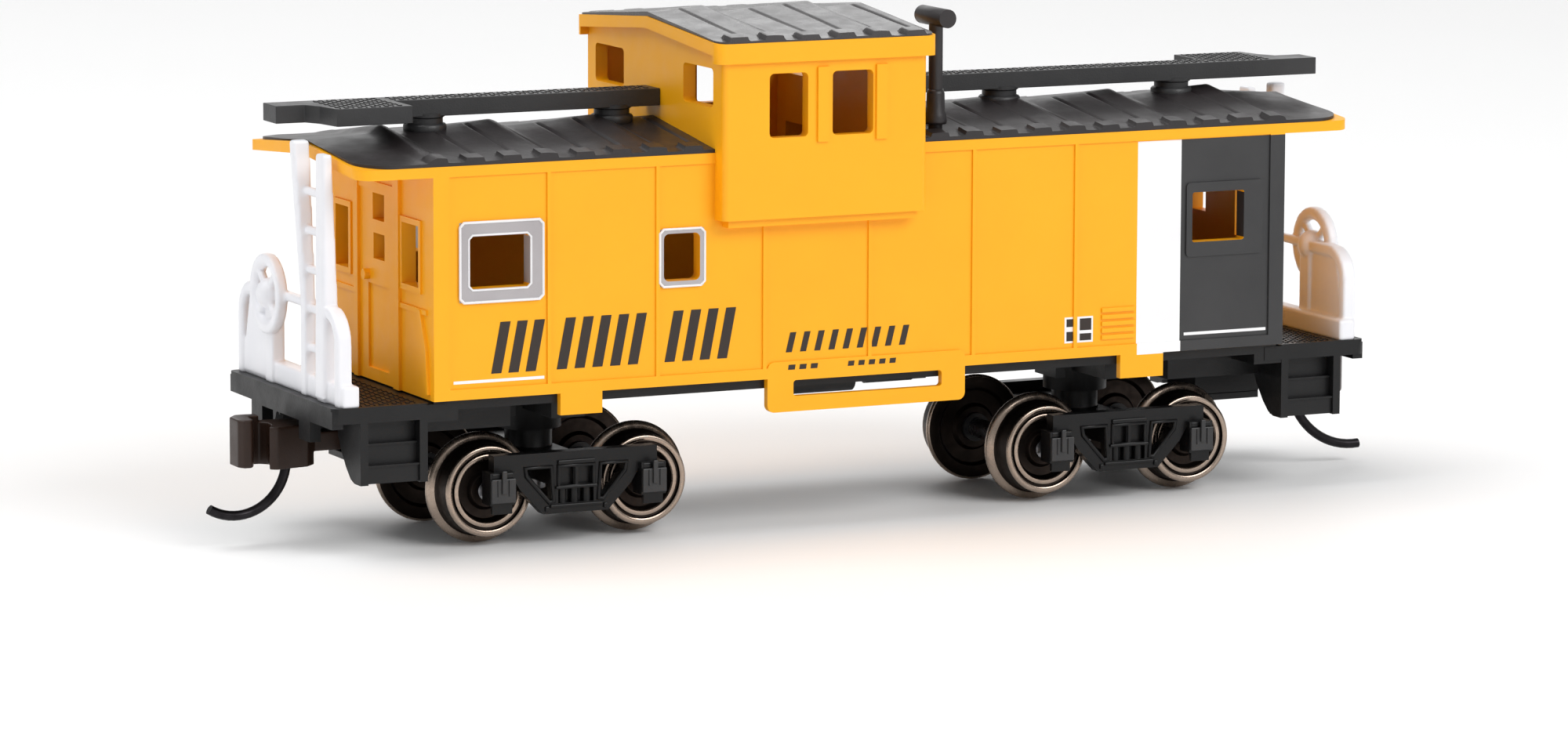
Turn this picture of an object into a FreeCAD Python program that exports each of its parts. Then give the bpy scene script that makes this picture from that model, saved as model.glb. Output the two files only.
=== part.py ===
"""Model railway caboose for 9 mm gauge track, built as its separate pieces.

Millimetres. X runs along the car, Y across it and Z up. Z is 0 at the bottom of the wheel
flanges, and X and Y are 0 at the middle of the car. The front end is at -X.
"""
import FreeCAD, Part
import math
import os

os.makedirs("parts", exist_ok=True)

V = FreeCAD.Vector
FRONT, REAR = -1, 1
ENDS = (("front", FRONT), ("rear", REAR))

# Body shell: 30 ft x 9 ft 4 in at 1:160
BODY_HALF_LENGTH = 28.575
BODY_HALF_WIDTH = 8.83
WALL = 0.8
SIDE_BOTTOM = 9.46
CEILING = 22.9
RELIEF = 0.12
TAB_BACK = 8.47
SEAM_START = -21.2
SEAM_PITCH = 7.03
SEAM_X = [SEAM_START + SEAM_PITCH * n for n in range(6)]
CORNER_POST = 1.03

# Main roof
ROOF_HALF_LENGTH = 33.27
ROOF_HALF_WIDTH = 8.95
ROOF_CORNER = 1.0
FASCIA_BOTTOM = 22.68
EAVE_TOP = 23.3
RIDGE_TOP = 24.1
SHEET = 0.2
RIB_HEIGHT = 0.25

# Cupola
CUPOLA_X = (-10.43, 3.13)
CUPOLA_HALF_WIDTH = 10.05
CUPOLA_BOTTOM = 19.29
CUPOLA_CORNER = 0.35
CAP_OVERHANG = 0.55
CAP_HALF_WIDTH = 10.38
CAP_CORNER = 0.6
CAP_BOTTOM = 28.7
CAP_EAVE = 29.9
CAP_RIDGE = 30.7
CAP_RIM = 0.7

# Trucks and wheels
TRUCK_X = 18.72
HALF_WHEELBASE = 5.055
AXLE_Z = 3.35
TREAD_R = 2.75
FLANGE_R = 3.35
WHEEL_BACK_Y = 3.83
WHEEL_FACE_Y = 5.86
AXLE_R = 0.6
JOURNAL_R = 0.3
JOURNAL_CLEARANCE = 0.06
AXLE_TIP_Y = 6.85
BUSH_R = 0.9
FRAME_INNER_Y = 6.3
FRAME_OUTER_Y = 7.15
BOLSTER_HALF = 1.5
BOLSTER_TOP = 6.1
BEARING_GAP = 0.05
KINGPIN_R = 0.55
KINGPIN_HOLE_R = 0.62

# Underframe and end platforms
DECK_X = 34.75
DECK_HALF_WIDTH = 8.49
DECK_TOP = 9.35
DECK_BOTTOM = 8.4
FLOOR_BOTTOM = 8.85
FLOOR_TOP = 9.8
STEP_X = (28.8, 33.05)
STEP_PLATE = 0.5
# Face, back, bottom and top of each tread's block
STEP_TREADS = ((-8.3, -6.9, 4.75, 5.85), (-7.95, -5.9, 5.8, 7.1), (-7.6, -4.7, 7.05, 8.5))
BEAM_BOTTOM = 8.1

# Couplers
PIVOT_X = 28.4
POCKET_X = (26.4, 31.0)
POCKET_HALF = 1.8
POCKET_WALL = 0.35
POCKET_BOTTOM = 4.95
POCKET_FLOOR = 5.4
POCKET_ROOF = 7.0
PIVOT_R = 0.6
EYE_HOLE_R = 0.66
EYE_R = 1.2
SHANK_HALF = 0.6
SHANK_Z = (5.58, 6.75)
HEAD_Z = (4.8, 7.35)
KNUCKLE_Z = (4.87, 7.75)
PIN_WIRE_R = 0.3

# End railings
RAIL_X = (33.45, 34.25)
RAIL_BASE_X = (33.1, 34.05)
RAIL_BASE_TOP = 10.55
RAIL_HALF_WIDTH = 8.35
RAIL_TOP = 15.0
RAIL_BAR = 0.55
LADDER_Y = (-4.8, -2.8)
LADDER_LEAN_Z = 15.0
RUNG_START = 12.23
RUNG_PITCH = 2.335
BRAKE_WHEEL_R = 2.35
BRAKE_WHEEL_Y = 3.1
BRAKE_WHEEL_Z = 14.7

# Running boards
BOARD_Z = (25.35, 26.4)
BOARD_HALF = 1.05
BOARD_END = 35.3
BOARD_SIDE = 4.0
BOARD_POST_X = (13.2, 25.4)
BOARD_POST_R = 1.0

# Smoke jack
JACK_X, JACK_Y = 5.2, -7.0
JACK_R = 0.43
JACK_CAP_R = 0.57
JACK_CAP_Z = 30.67
JACK_CAP_Y = (-8.6, -5.2)


def box(x, y, z):
    """Box between two limits on each axis, in either order."""
    low = [min(pair) for pair in (x, y, z)]
    size = [abs(pair[1] - pair[0]) for pair in (x, y, z)]
    return Part.makeBox(*size, V(*low))


def cylinder(radius, start, direction, length):
    return Part.makeCylinder(radius, length, V(*start), V(*direction))


def prism(points, axis, start, stop):
    """Closed outline in the plane across an axis, extruded along it.

    Points are (y, z) across X, (x, z) across Y and (x, y) across Z.
    """
    place = {
        "x": lambda a, b: V(start, a, b),
        "y": lambda a, b: V(a, start, b),
        "z": lambda a, b: V(a, b, start),
    }[axis]
    outline = [place(a, b) for a, b in points]
    face = Part.Face(Part.makePolygon(outline + outline[:1]))
    along = {"x": V(1, 0, 0), "y": V(0, 1, 0), "z": V(0, 0, 1)}[axis]
    return face.extrude(along * (stop - start))


def gable_bar(half_width, base, eave, ridge, x, base_ridge=None):
    """Bar along X with a ridged top and a flat or ridged bottom."""
    outline = [(-half_width, base), (half_width, base), (half_width, eave), (0, ridge), (-half_width, eave)]
    if base_ridge is not None:
        outline.insert(1, (0, base_ridge))
    return prism(outline, "x", *x)


def rounded_box(x, y, z, along, radius):
    """Box with the four edges that run along one axis rounded."""
    solid = box(x, y, z)
    axis = {"x": V(1, 0, 0), "y": V(0, 1, 0), "z": V(0, 0, 1)}[along]
    edges = [e for e in solid.Edges if abs(e.tangentAt(e.FirstParameter).dot(axis)) > 0.9]
    return solid.makeFillet(radius, edges)


def both_sides(shape):
    """The shape with its mirror image across the car's centre plane."""
    return shape.fuse(shape.mirror(V(0, 0, 0), V(0, 1, 0)))


def fuse_all(shapes):
    return shapes[0].multiFuse(shapes[1:]).removeSplitter()


def at_end(shape, end):
    """A piece drawn at the front end, turned half round for the rear end."""
    if end == REAR:
        return shape.rotated(V(0, 0, 0), V(0, 0, 1), 180)
    return shape


def ring_about_y(profile):
    """Solid of revolution about Y from (radius, y) points."""
    outline = [V(radius, y, 0) for radius, y in profile]
    face = Part.Face(Part.makePolygon(outline + outline[:1]))
    return face.revolve(V(0, 0, 0), V(0, 1, 0), 360)


def save(name, shape):
    shape = shape.removeSplitter()
    if not shape.isValid():
        raise ValueError(name + " is not a valid solid")
    shape.exportStep("parts/" + name + ".step")


# ---- Body shell ----

def side_window(x, z, frame_x, frame_z, corner):
    """A window in both sides: the raised frame to add and the opening to cut."""
    outer = BODY_HALF_WIDTH + RELIEF
    frame = rounded_box(frame_x, (-outer, -BODY_HALF_WIDTH + WALL / 2), frame_z, "y", corner + 0.1)
    opening = rounded_box(x, (-outer - 1, -BODY_HALF_WIDTH + WALL + 1), z, "y", corner)
    return both_sides(frame), both_sides(opening)


# Opening along X and Z, frame along X and Z, corner radius
SIDE_WINDOWS = (
    ((-26.27, -22.45), (16.0, 19.1), (-26.9, -21.6), (15.2, 19.93), 0.15),
    ((-13.8, -11.43), (15.75, 18.6), (-14.05, -11.12), (15.43, 18.87), 0.35),
    ((22.05, 25.7), (16.2, 19.3), (21.65, 27.05), (15.3, 19.9), 0.15),
)


def side_relief():
    """Seams, sill, louvre and hanging tabs of one side, mirrored to the other."""
    outer = BODY_HALF_WIDTH + RELIEF
    skin = (-outer, -BODY_HALF_WIDTH + WALL / 2)
    relief = [box((x - 0.12, x + 0.12), skin, (SIDE_BOTTOM, FASCIA_BOTTOM + 0.2)) for x in SEAM_X]
    relief.append(box((-BODY_HALF_LENGTH, BODY_HALF_LENGTH), skin, (SIDE_BOTTOM, 10.1)))
    for end in (FRONT, REAR):
        post = (end * BODY_HALF_LENGTH, end * (BODY_HALF_LENGTH - CORNER_POST))
        relief.append(box(post, skin, (SIDE_BOTTOM, FASCIA_BOTTOM + 0.2)))
    slats, slat_pitch, slat_height = 5, 0.42, 0.26
    for slat in range(slats):
        low = 10.5 + slat * slat_pitch
        relief.append(box((15.8, 18.1), skin, (low, low + slat_height)))
    tab = (-outer, -TAB_BACK)
    relief.append(box((-20.5, -17.8), tab, (8.15, SIDE_BOTTOM + 0.3)))
    relief.append(box((17.1, 20.1), tab, (8.0, SIDE_BOTTOM + 0.3)))
    cage = rounded_box((-6.95, 6.35), tab, (7.4, SIDE_BOTTOM + 1.0), "y", 0.45)
    relief.append(cage.cut(rounded_box((-5.23, 4.77), (-outer - 1, -TAB_BACK + 1), (8.33, 9.3), "y", 0.2)))
    ledge_x = (CUPOLA_X[0] + 0.5, CUPOLA_X[1] - 0.5)
    relief.append(box(ledge_x, (-9.7, -8.5), (CUPOLA_BOTTOM - 0.45, CUPOLA_BOTTOM)))
    return both_sides(fuse_all(relief))


def end_relief():
    """Door frame, window frames, trim and grab iron of the front end wall."""
    face = (-BODY_HALF_LENGTH - 0.2, -BODY_HALF_LENGTH + 0.3)
    thin = (-BODY_HALF_LENGTH - RELIEF, -BODY_HALF_LENGTH + 0.3)
    top = FASCIA_BOTTOM + 0.3
    parts = [
        box(face, (2.5, 3.15), (SIDE_BOTTOM, top)),
        box(face, (-3.95, -3.1), (SIDE_BOTTOM, top)),
        box(thin, (-7.15, -4.0), (15.6, 19.95)),
        box(thin, (3.8, 6.5), (15.45, 19.85)),
        box(thin, (-8.0, -3.9), (14.45, 14.75)),
        box(thin, (3.1, 8.0), (14.45, 14.75)),
        box(thin, (-3.1, 2.5), (21.0, 21.5)),
        cylinder(0.32, (-BODY_HALF_LENGTH - 0.35, 1.25, 15.8), (1, 0, 0), 0.6),
    ]
    grab = prism([(-7.2, 14.7), (-8.1, 12.4), (-8.35, 9.8), (-8.05, 9.8), (-7.8, 12.3), (-6.9, 14.7)],
                 "x", face[0], face[1])
    parts.append(grab)
    return fuse_all(parts)


def end_cuts():
    """Door panel recess, door lights and end windows of the front end wall."""
    through = (-BODY_HALF_LENGTH - 1, -BODY_HALF_LENGTH + WALL + 0.5)
    recess = (-BODY_HALF_LENGTH - 1, -BODY_HALF_LENGTH + 0.15)
    cuts = [
        box(recess, (-2.0, 1.25), (10.2, 15.3)),
        box(through, (-1.3, 0.5), (19.2, 20.8)),
        box(through, (-1.35, 0.4), (16.85, 18.4)),
        box(through, (-6.85, -4.3), (15.96, 19.6)),
        box(through, (4.15, 6.2), (15.8, 19.5)),
    ]
    return fuse_all(cuts)


def cupola_cap():
    """Gabled yellow cap of the cupola, hollow under its end overhangs."""
    ends = (CUPOLA_X[0] - CAP_OVERHANG, CUPOLA_X[1] + CAP_OVERHANG)
    cap = gable_bar(CAP_HALF_WIDTH, CAP_BOTTOM, CAP_EAVE, CAP_RIDGE, ends)
    for limits in ((ends[0] - 1, CUPOLA_X[0]), (CUPOLA_X[1], ends[1] + 1)):
        cap = cap.cut(gable_bar(CAP_HALF_WIDTH - CAP_RIM, CAP_BOTTOM - 1, CAP_EAVE - CAP_RIM,
                                CAP_RIDGE - CAP_RIM, limits))
    width = (-CAP_HALF_WIDTH, CAP_HALF_WIDTH)
    return cap.common(rounded_box(ends, width, (CAP_BOTTOM - 1, CAP_RIDGE + 1), "z", CAP_CORNER))


def cupola_windows():
    """Openings of the cupola: two in each side and two in each end."""
    corner = 0.3
    outside, inside = -CUPOLA_HALF_WIDTH - 1, -CUPOLA_HALF_WIDTH + WALL + 0.3
    openings = []
    for x in ((-7.4, -4.85), (-3.23, -0.52)):
        openings.append(rounded_box(x, (outside, inside), (24.15, 28.0), "y", corner))
    for wall in CUPOLA_X:
        openings.append(rounded_box((wall - 1, wall + 1), (-8.6, -4.35), (25.95, 28.3), "x", corner))
    return both_sides(fuse_all(openings))


def cupola_trims():
    """Raised strips beside the cupola's side windows."""
    strips = []
    for x in ((-4.25, -3.5), (-0.35, 0.4)):
        strips.append(box(x, (-CUPOLA_HALF_WIDTH - 0.15, -CUPOLA_HALF_WIDTH + 0.3), (23.8, 28.3)))
    return both_sides(fuse_all(strips))


def roof_deck():
    """Gabled yellow roof of the body, rounded at its corners in plan."""
    length = (-ROOF_HALF_LENGTH, ROOF_HALF_LENGTH)
    deck = gable_bar(ROOF_HALF_WIDTH, FASCIA_BOTTOM, EAVE_TOP, RIDGE_TOP, length, FASCIA_BOTTOM + 0.7)
    plan = rounded_box(length, (-ROOF_HALF_WIDTH, ROOF_HALF_WIDTH), (20, 26), "z", ROOF_CORNER)
    return deck.common(plan)


def body_shell():
    body_x = (-BODY_HALF_LENGTH, BODY_HALF_LENGTH)
    body_y = (-BODY_HALF_WIDTH, BODY_HALF_WIDTH)
    cupola_y = (-CUPOLA_HALF_WIDTH, CUPOLA_HALF_WIDTH)
    walls = box(body_x, body_y, (SIDE_BOTTOM, EAVE_TOP - 0.1))
    cupola = rounded_box(CUPOLA_X, cupola_y, (CUPOLA_BOTTOM, CAP_EAVE - 0.2), "z", CUPOLA_CORNER)
    outer = fuse_all([walls, roof_deck(), cupola, cupola_cap(), side_relief(), cupola_trims()])
    ends = end_relief()
    outer = outer.fuse(ends).fuse(at_end(ends, REAR))
    cuts = [
        box([x * (1 - WALL / BODY_HALF_LENGTH) for x in body_x],
            [y * (1 - WALL / BODY_HALF_WIDTH) for y in body_y], (SIDE_BOTTOM - 1, CEILING)),
        box((CUPOLA_X[0] + WALL, CUPOLA_X[1] - WALL),
            [y * (1 - WALL / CUPOLA_HALF_WIDTH) for y in cupola_y], (CUPOLA_BOTTOM + WALL, CAP_EAVE - 0.3)),
        end_cuts(),
        at_end(end_cuts(), REAR),
        cupola_windows(),
        cylinder(JACK_R, (JACK_X, JACK_Y, CEILING - 1), (0, 0, 1), 3),
    ]
    for window in SIDE_WINDOWS:
        frame, opening = side_window(*window)
        outer = outer.fuse(frame)
        cuts.append(opening)
    return outer.cut(fuse_all(cuts))


# ---- Roof sheets ----

def ribs(x, half_width, eave, ridge):
    """Raised seams across a roof sheet: a broad one at each panel joint, two narrow ones between."""
    pattern = ((0, 0.9, RIB_HEIGHT), (2.3, 0.45, 0.15), (4.6, 0.45, 0.15))
    first = math.ceil((x[0] + 0.6 - SEAM_START) / SEAM_PITCH)
    last = math.floor((x[1] - 0.6 - SEAM_START) / SEAM_PITCH)
    bars = []
    for n in range(first, last + 1):
        for offset, width, height in pattern:
            middle = SEAM_START + n * SEAM_PITCH + offset
            if middle + width < x[1]:
                limits = (middle - width / 2, middle + width / 2)
                bars.append(gable_bar(half_width, eave - 0.05, eave + height, ridge + height,
                                      limits, ridge - 0.05))
    return bars


def sheet(x, half_width, low_eave, low_ridge):
    eave = low_eave + SHEET
    ridge = low_ridge + SHEET
    skin = gable_bar(half_width, low_eave, eave, ridge, x, low_ridge)
    return fuse_all([skin] + ribs(x, half_width, eave, ridge))


def main_roof(end):
    """One main roof sheet, from the cupola wall to just inside the rounded roof end."""
    inner = CUPOLA_X[0] - 0.02 if end == FRONT else CUPOLA_X[1] + 0.02
    inset = 0.1
    half_length = ROOF_HALF_LENGTH - inset
    half_width = ROOF_HALF_WIDTH - 0.02
    roof = sheet(sorted((inner, end * half_length)), ROOF_HALF_WIDTH, EAVE_TOP, RIDGE_TOP)
    plan = rounded_box((-half_length, half_length), (-half_width, half_width), (20, 27), "z", ROOF_CORNER)
    return roof.common(plan).cut(cylinder(JACK_R, (JACK_X, JACK_Y, CEILING), (0, 0, 1), 3))


def cupola_roof():
    inset = 0.1
    ends = (CUPOLA_X[0] - CAP_OVERHANG + inset, CUPOLA_X[1] + CAP_OVERHANG - inset)
    half_width = CAP_HALF_WIDTH - 0.05
    roof = sheet(ends, CAP_HALF_WIDTH, CAP_EAVE, CAP_RIDGE)
    return roof.common(rounded_box(ends, (-half_width, half_width), (28, 33), "z", CAP_CORNER))


# ---- Underframe ----

def step_well():
    """Three-tread step at the -Y side of the front end."""
    inner, outer = STEP_X
    front = -DECK_HALF_WIDTH
    side = [(front, 4.7), (-7.5, 4.7), (-6.9, 4.9), (-6.2, 5.5), (-5.3, 6.6), (-4.7, 7.9), (-4.7, 8.6),
            (front, 8.6)]
    plates = [prism(side, "x", x, x + STEP_PLATE) for x in (-inner - STEP_PLATE, -outer)]
    span = (-outer + 0.1, -inner - 0.1)
    nosing = 0.12
    for face, back, low, high in STEP_TREADS:
        plates.append(box(span, (face, back), (low, high)))
        plates.append(box(span, (face - nosing, face + nosing), (high - nosing, high)))
    return fuse_all(plates)


def end_beam():
    """Beam under the deck's end, with a drop at its middle and a slot for the coupler."""
    outer, inner = -DECK_X, -DECK_X + 0.7
    beam = box((outer, inner), (-8.3, 8.3), (BEAM_BOTTOM, DECK_TOP - 0.2))
    drop = box((outer, inner), (-4.75, 4.75), (6.86, BEAM_BOTTOM + 0.1))
    slot = box((outer - 1, inner + 1), (-3.0, 3.0), (6, 7.95))
    sill = box((outer + 0.6, -POCKET_X[1] - 0.05), (-4.7, 4.7), (7.8, DECK_BOTTOM + 0.1))
    return fuse_all([beam, drop.cut(slot), sill])


def wheel_cover():
    """Flat block under the floor, over the outer wheels of the front truck."""
    return box((-STEP_X[0] - 0.05, -22.3), (-5.6, 5.6), (7.15, FLOOR_BOTTOM + 0.1))


def pocket_space():
    """Room inside the front coupler pocket, open below and outward."""
    half = POCKET_HALF - POCKET_WALL
    return box((-POCKET_X[1] - 1, -POCKET_X[0] - POCKET_WALL), (-half, half), (POCKET_FLOOR - 1, POCKET_ROOF))


def coupler_pocket():
    """Box under the front deck, with the coupler's pivot post."""
    outer, inner = -POCKET_X[1], -POCKET_X[0]
    pocket = box((outer, inner), (-POCKET_HALF, POCKET_HALF), (POCKET_FLOOR, FLOOR_BOTTOM + 0.1))
    post = cylinder(PIVOT_R, (-PIVOT_X, 0, POCKET_FLOOR), (0, 0, 1), POCKET_ROOF - POCKET_FLOOR + 0.1)
    return pocket.cut(pocket_space()).fuse(post)


def platform():
    """End platform at the front: deck, end beam, steps, side brackets and coupler pocket."""
    half = DECK_HALF_WIDTH
    deck = rounded_box((-DECK_X, -BODY_HALF_LENGTH), (-half, half), (DECK_BOTTOM, DECK_TOP), "z", 0.4)
    root_x = (-BODY_HALF_LENGTH - 0.5, -BODY_HALF_LENGTH + 1)
    root = box(root_x, (-half, half), (DECK_BOTTOM, FLOOR_BOTTOM + 0.4))
    bracket = box((-STEP_X[0] - 0.1, -26.85), (-8.45, -4.7), (8.2, FLOOR_BOTTOM + 0.1))
    pieces = [deck, root, end_beam(), wheel_cover(), both_sides(bracket), both_sides(step_well())]
    return fuse_all(pieces).cut(pocket_space()).fuse(coupler_pocket())


def body_bolster():
    """Centre bearing over the front truck, with the screw hole for its king pin."""
    top = FLOOR_BOTTOM + 0.1
    bearing = BOLSTER_TOP + BEARING_GAP
    boss = cylinder(2.0, (-TRUCK_X, 0, bearing), (0, 0, 1), top - bearing)
    beam = box((-TRUCK_X - 1.1, -TRUCK_X + 1.1), (-6.0, 6.0), (7.5, top))
    web = box((-TRUCK_X - 2.1, -TRUCK_X + 2.1), (-1.4, 1.4), (7.0, top))
    return fuse_all([boss, beam, web])


def brake_gear():
    """Air reservoir, brake cylinder and valve hung under the middle of the floor."""
    hang = FLOOR_BOTTOM - 0.1
    return fuse_all([
        cylinder(0.8, (-3.4, -3.6, 8.35), (1, 0, 0), 4.6),
        cylinder(0.65, (2.6, -2.6, 8.4), (1, 0, 0), 3.2),
        box((5.7, 6.6), (-3.2, -2.0), (7.9, hang + 0.2)),
        box((-9.6, -8.0), (2.0, 4.4), (7.9, hang + 0.2)),
        box((-12.0, 12.0), (-0.5, 0.5), (8.1, hang + 0.2)),
    ])


def underframe():
    floor = box((-28.4, 28.4), (-8.45, 8.45), (FLOOR_BOTTOM, SIDE_BOTTOM - 0.04))
    tray = box((-27.7, 27.7), (-7.95, 7.95), (FLOOR_BOTTOM + 0.1, FLOOR_TOP))
    pieces = [floor, tray, brake_gear()]
    for _, end in ENDS:
        pieces.append(at_end(platform(), end))
        pieces.append(at_end(body_bolster(), end))
        pieces.append(cylinder(0.8, (end * 20, 0, FLOOR_TOP - 0.1), (0, 0, 1), 1.5))
    frame = fuse_all(pieces)
    for _, end in ENDS:
        frame = frame.cut(cylinder(KINGPIN_R, (end * TRUCK_X, 0, 5), (0, 0, 1), 4.0))
    return frame


def ballast_weight():
    """Steel weight that lies in the floor tray on two pegs."""
    weight = box((-24, 24), (-6.5, 6.5), (FLOOR_TOP, FLOOR_TOP + 1.6))
    for _, end in ENDS:
        weight = weight.cut(cylinder(0.9, (end * 20, 0, FLOOR_TOP - 1), (0, 0, 1), 4))
    return weight


# ---- Trucks ----

def side_frame():
    """Truss side frame on the -Y side, drawn about the truck's centre."""
    inner, outer = -FRAME_INNER_Y, -FRAME_OUTER_Y
    left = [(-5.3, 5.65), (-5.3, 4.5), (-4.1, 4.3), (-3.6, 3.5), (-2.1, 1.95)]
    plate = prism(left + [(-x, z) for x, z in reversed(left)], "y", outer, inner)
    gap = [(-3.3, 4.8), (-1.6, 4.8), (-1.45, 2.7), (-1.75, 2.65), (-3.2, 4.3)]
    for points in (gap, [(-x, z) for x, z in gap]):
        plate = plate.cut(prism(points, "y", outer - 1, inner + 1))
    for x in ((-1.1, -0.15), (0.15, 1.1)):
        plate = plate.cut(box(x, (outer - 1, outer + 0.35), (3.65, 4.75)))
    plate = plate.cut(box((-1.15, 1.15), (outer - 1, outer + 0.5), (2.55, 3.45)))
    coils = [cylinder(0.27, (x, outer + 0.33, 2.5), (0, 0, 1), 1.0) for x in (-0.8, 0, 0.8)]
    boxes = []
    for x in (-HALF_WHEELBASE, HALF_WHEELBASE):
        shift = 0.15 if x < 0 else -0.15
        boxes.append(box((x - 0.8 + shift, x + 0.8 + shift), (-7.55, inner), (2.75, 4.7)))
        boxes.append(box((x - 0.55 + shift, x + 0.55 + shift), (-7.7, inner), (3.0, 4.3)))
    return fuse_all([plate] + coils + boxes)


def truck_frame():
    """Both side frames and the bolster between them, drawn about the truck's centre."""
    bolster = box((-BOLSTER_HALF, BOLSTER_HALF), (-FRAME_INNER_Y - 0.1, FRAME_INNER_Y + 0.1), (3.6, 5.0))
    plate = cylinder(1.45, (0, 0, 3.1), (0, 0, 1), BOLSTER_TOP - 3.1)
    frame = fuse_all([both_sides(side_frame()), bolster, plate])
    frame = frame.cut(cylinder(KINGPIN_HOLE_R, (0, 0, 1), (0, 0, 1), 8))
    bore = JOURNAL_R + JOURNAL_CLEARANCE
    for x in (-HALF_WHEELBASE, HALF_WHEELBASE):
        frame = frame.cut(cylinder(bore, (x, -AXLE_TIP_Y - 0.1, AXLE_Z), (0, 1, 0), 2 * AXLE_TIP_Y + 0.2))
    return frame


def kingpin():
    """Headed screw that holds a truck, drawn about the truck's centre."""
    head = cylinder(1.05, (0, 0, 2.4), (0, 0, 1), 0.65)
    head = head.cut(box((-2, 2), (-0.12, 0.12), (2, 2.65)))
    return head.fuse(cylinder(KINGPIN_R, (0, 0, 3.0), (0, 0, 1), 5.5))


def wheel(bore):
    """Wheel on the +Y side of an axle along Y, drawn about the axle's middle."""
    back, face = WHEEL_BACK_Y, WHEEL_FACE_Y
    profile = [
        (bore, back), (1.3, back), (1.5, back + 0.3), (2.3, back + 0.3), (2.5, back), (FLANGE_R - 0.15, back),
        (FLANGE_R, back + 0.15), (FLANGE_R, back + 0.3), (FLANGE_R - 0.1, back + 0.45),
        (TREAD_R + 0.1, back + 0.62), (TREAD_R, face - 0.08), (TREAD_R - 0.08, face), (2.42, face),
        (2.36, face - 0.16), (2.2, face - 0.16), (2.14, face - 0.04), (1.95, face - 0.1), (1.62, face - 0.55),
        (1.15, face - 0.6), (1.05, face - 0.3), (bore, face - 0.3),
    ]
    return ring_about_y(profile)


def axle():
    """Axle with a journal and a pointed tip at each end."""
    shoulder = WHEEL_FACE_Y - 0.25
    tip = AXLE_TIP_Y
    half = [(0, 0), (AXLE_R, 0), (AXLE_R, shoulder), (JOURNAL_R, shoulder + 0.1), (JOURNAL_R, tip - 0.3),
            (0.06, tip), (0, tip)]
    return both_sides(ring_about_y(half))


# ---- Couplers ----

def coupler_outline(points):
    """Outline given as (distance out from the pivot, distance towards +Y)."""
    return [(-PIVOT_X - out, side) for out, side in points]


def trip_pin(end):
    """Curved wire under a coupler head: one arc, bent a little further open at the rear."""
    centre_x, centre_z, radius, tip = {
        FRONT: (-37.6, 5.147, 3.197, -39.3),
        REAR: (-39.0, 5.87, 4.72, -39.42),
    }[end]
    top_z = 6.8
    top = math.degrees(math.atan2(top_z - centre_z, math.sqrt(radius ** 2 - (top_z - centre_z) ** 2)))
    low = -math.degrees(math.acos((tip - centre_x) / radius))
    centre = V(centre_x, 0, centre_z)

    def on_arc(angle):
        turn = math.radians(angle)
        return centre + V(math.cos(turn), 0, math.sin(turn)) * radius

    path = Part.Arc(on_arc(top), on_arc((top + low) / 2), on_arc(low)).toShape()
    tangent = path.tangentAt(path.FirstParameter)
    wire = Part.Wire(Part.makeCircle(PIN_WIRE_R, on_arc(top), tangent))
    pin = Part.Wire(path).makePipeShell([wire], True, False)
    return at_end(pin, end)


def coupler(end):
    """Knuckle coupler with its shank and pivot eye, and a hole for the trip pin."""
    eye = cylinder(EYE_R, (-PIVOT_X, 0, SHANK_Z[0]), (0, 0, 1), SHANK_Z[1] - SHANK_Z[0])
    shank = box((-PIVOT_X - 4.6, -PIVOT_X), (-SHANK_HALF, SHANK_HALF), SHANK_Z)
    body = [(4.5, -0.7), (5.1, -1.3), (7.2, -1.65), (7.6, -1.4), (7.1, -0.5), (7.0, 0.4), (7.4, 0.8),
            (7.8, 0.8), (7.8, 1.7), (5.1, 1.4), (4.5, 0.7)]
    knuckle = [(7.4, 0.8), (8.1, 0.75), (8.2, -0.4), (8.45, -0.8), (8.95, -0.8), (9.2, -0.4), (9.2, 1.0),
               (8.7, 1.65), (7.4, 1.6)]
    head = fuse_all([
        eye,
        shank,
        prism(coupler_outline(body), "z", *HEAD_Z),
        prism(coupler_outline(knuckle), "z", *KNUCKLE_Z),
    ])
    eye_hole = cylinder(EYE_HOLE_R, (-PIVOT_X, 0, 4), (0, 0, 1), 4)
    return at_end(head.cut(eye_hole), end).cut(trip_pin(end))


def coupler_cover():
    """Plate that closes the bottom of the coupler pocket, with a stiffening rib."""
    outer, inner = -POCKET_X[1], -POCKET_X[0]
    plate = box((outer, inner), (-POCKET_HALF, POCKET_HALF), (POCKET_BOTTOM, POCKET_FLOOR))
    rib = box((outer + 0.4, inner - 0.4), (-0.3, 0.3), (POCKET_BOTTOM - 0.15, POCKET_BOTTOM + 0.1))
    return plate.fuse(rib)


def coupler_spring():
    """Bronze leaf spring: a bar behind the pivot eye with a finger along each side of the shank."""
    leaf = 0.13
    height = (5.75, 6.6)
    outer = POCKET_HALF - POCKET_WALL - 0.02
    root, bend, tip = -26.82, -28.9, -30.2
    tip_y = -1.12
    finger = [(root, -outer), (root, -outer + leaf), (bend, -outer + leaf), (tip, tip_y),
              (tip, tip_y - leaf), (bend, -outer)]
    back = box((root - leaf, root), (-outer, outer), height)
    return both_sides(prism(finger, "z", *height)).fuse(back)


# ---- Railings, boards and smoke jack ----

def ladder_post(y, low_x, high_x, top):
    """Ladder post of one thickness range at its foot and another at its top, bent at the railing's top."""
    outline = [(low_x[0], DECK_TOP), (low_x[1], DECK_TOP), (low_x[1], LADDER_LEAN_Z), (high_x[1], top),
               (high_x[0], top), (low_x[0], LADDER_LEAN_Z)]
    return prism(outline, "y", *y)


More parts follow.
